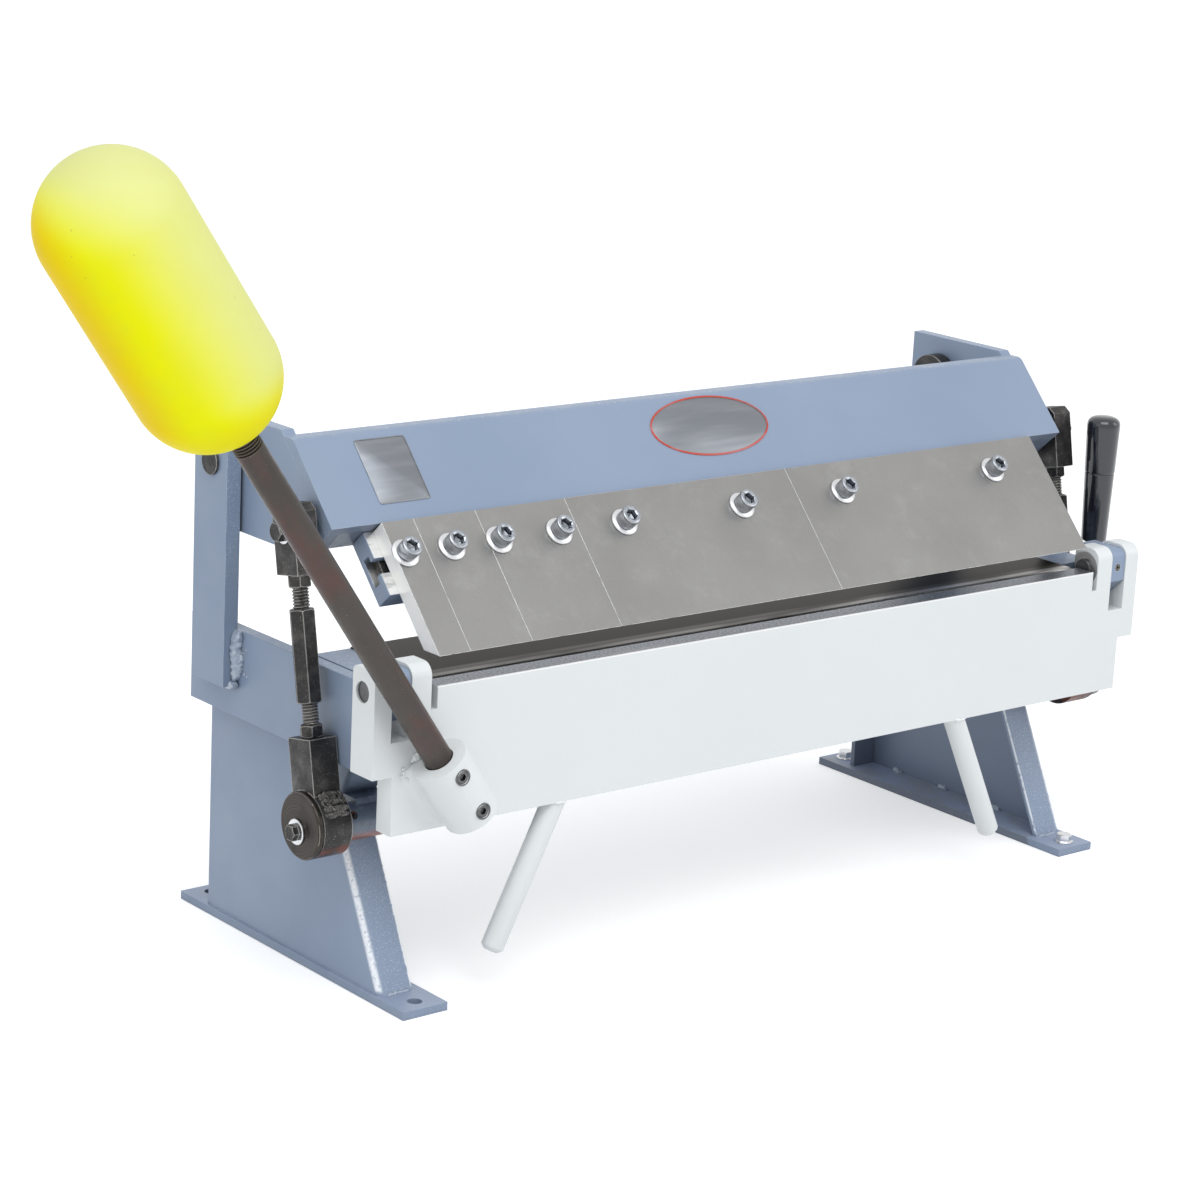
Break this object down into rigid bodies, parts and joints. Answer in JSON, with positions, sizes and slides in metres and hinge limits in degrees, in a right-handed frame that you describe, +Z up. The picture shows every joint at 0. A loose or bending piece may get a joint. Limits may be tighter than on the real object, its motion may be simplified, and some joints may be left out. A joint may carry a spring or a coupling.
{
  "type": "box and pan brake",
  "caption": "Bench box and pan brake with separate clamping fingers, an eccentric clamp lever, turnbuckle links, a hinged apron and a counterweight.",
  "frame": {"origin": "on the bench, midway between the four foot holes", "axes": "+X along the bed to the operator's right, +Y away from the operator, +Z up"},
  "size_m": [1.0018, 0.3324, 0.5849],
  "materials": {
    "frame_paint": "blue-grey enamel, semi-gloss, fine texture",
    "apron_paint": "cool off-white enamel, semi-gloss",
    "weight_paint": "yellow enamel, gloss",
    "ground_steel": "ground, satin",
    "polished_steel": "dark, polished",
    "turned_steel": "turned, satin",
    "black_oxide": "black oxide, oiled, worn edges",
    "mill_steel": "blackened mill scale",
    "zinc": "zinc plated",
    "grip_plastic": "gloss black"
  },
  "bodies": {
    "frame": {"leg_left": "frame_paint", "leg_right": "frame_paint", "shaft_bearing_left": "frame_paint", "shaft_bearing_right": "frame_paint", "end_plate_left": "frame_paint", "end_plate_right": "frame_paint", "bed_channel": "frame_paint", "bed_plate": "polished_steel", "bed_bolts": "zinc", "upright_left": "frame_paint", "upright_right": "frame_paint", "hinge_block_left": "frame_paint", "hinge_block_right": "frame_paint", "hinge_pins": "turned_steel", "hinge_set_screws": "black_oxide", "pivot_pins": "black_oxide", "pivot_collars": "black_oxide"},
    "clamp_beam": {"beam_plate": "frame_paint", "beam_cheek_left": "frame_paint", "beam_cheek_right": "frame_paint", "finger_bar": "frame_paint", "link_pins": "black_oxide", "finger_2in": "ground_steel", "finger_3in": "ground_steel", "finger_8in": "ground_steel", "finger_nuts": "black_oxide", "finger_screws": "zinc", "finger_washers": "zinc"},
    "finger_1in": {"finger_1in": "ground_steel", "fixings_1in": "zinc"},
    "finger_10in": {"finger_10in": "ground_steel", "fixings_10in": "zinc"},
    "apron": {"apron": "apron_paint", "handle_left": "apron_paint", "handle_right": "apron_paint", "socket": "apron_paint", "socket_set_screws": "black_oxide", "counterweight_bar": "mill_steel", "counterweight": "weight_paint"},
    "clamp_shaft": {"cross_shaft": "turned_steel", "eccentric_left": "turned_steel", "eccentric_right": "turned_steel", "keeper_left": "black_oxide", "keeper_right": "black_oxide", "shaft_bolts": "zinc", "shaft_washers": "zinc", "clamp_lever": "turned_steel", "grip": "grip_plastic"},
    "link_left": {"strap_left": "black_oxide", "upper_eye_left": "black_oxide", "lock_nuts_left": "black_oxide"},
    "link_right": {"strap_right": "black_oxide", "upper_eye_right": "black_oxide", "lock_nuts_right": "black_oxide"},
    "turnbuckle_left": {"turnbuckle_left": "black_oxide"},
    "turnbuckle_right": {"turnbuckle_right": "black_oxide"}
  },
  "joints": [
    {"name": "clamp_lever_turn", "type": "hinge", "parent": "frame", "child": "clamp_shaft", "pos_m": [0, -0.0686, 0.1185], "axis": [1, 0, 0], "range_deg": [0, 112]},
    {"name": "beam_tilt", "type": "hinge", "parent": "frame", "child": "clamp_beam", "pos_m": [0, 0.0677, 0.338], "axis": [1, 0, 0], "range_deg": [0, 5.2]},
    {"name": "link_left_swing", "type": "hinge", "parent": "clamp_shaft", "child": "link_left", "pos_m": [-0.356, -0.07115, 0.12292], "axis": [1, 0, 0], "range_deg": [-114, 0]},
    {"name": "link_right_swing", "type": "hinge", "parent": "clamp_shaft", "child": "link_right", "pos_m": [0.356, -0.07115, 0.12292], "axis": [1, 0, 0], "range_deg": [-114, 0]},
    {"name": "turnbuckle_left_turn", "type": "hinge", "parent": "link_left", "child": "turnbuckle_left", "pos_m": [-0.356, -0.05049, 0.23157], "axis": [0, 0.1868, 0.9824], "range_deg": [-180, 180]},
    {"name": "turnbuckle_right_turn", "type": "hinge", "parent": "link_right", "child": "turnbuckle_right", "pos_m": [0.356, -0.05049, 0.23157], "axis": [0, 0.1868, 0.9824], "range_deg": [-180, 180]},
    {"name": "apron_swing", "type": "hinge", "parent": "frame", "child": "apron", "pos_m": [0, -0.1194, 0.225], "axis": [-1, 0, 0], "range_deg": [0, 105]},
    {"name": "finger_1in_slide", "type": "slide", "parent": "clamp_beam", "child": "finger_1in", "axis": [-1, 0, 0], "range_m": [0, 0.0055]},
    {"name": "finger_10in_slide", "type": "slide", "parent": "clamp_beam", "child": "finger_10in", "axis": [1, 0, 0], "range_m": [0, 0.0055]}
  ],
  "couplings": [
    {"joint": "beam_tilt", "follows": "clamp_lever_turn", "ratio": 0.045786},
    {"joint": "link_left_swing", "follows": "clamp_lever_turn", "ratio": -1.0089},
    {"joint": "link_right_swing", "follows": "clamp_lever_turn", "ratio": -1.0089}
  ]
}
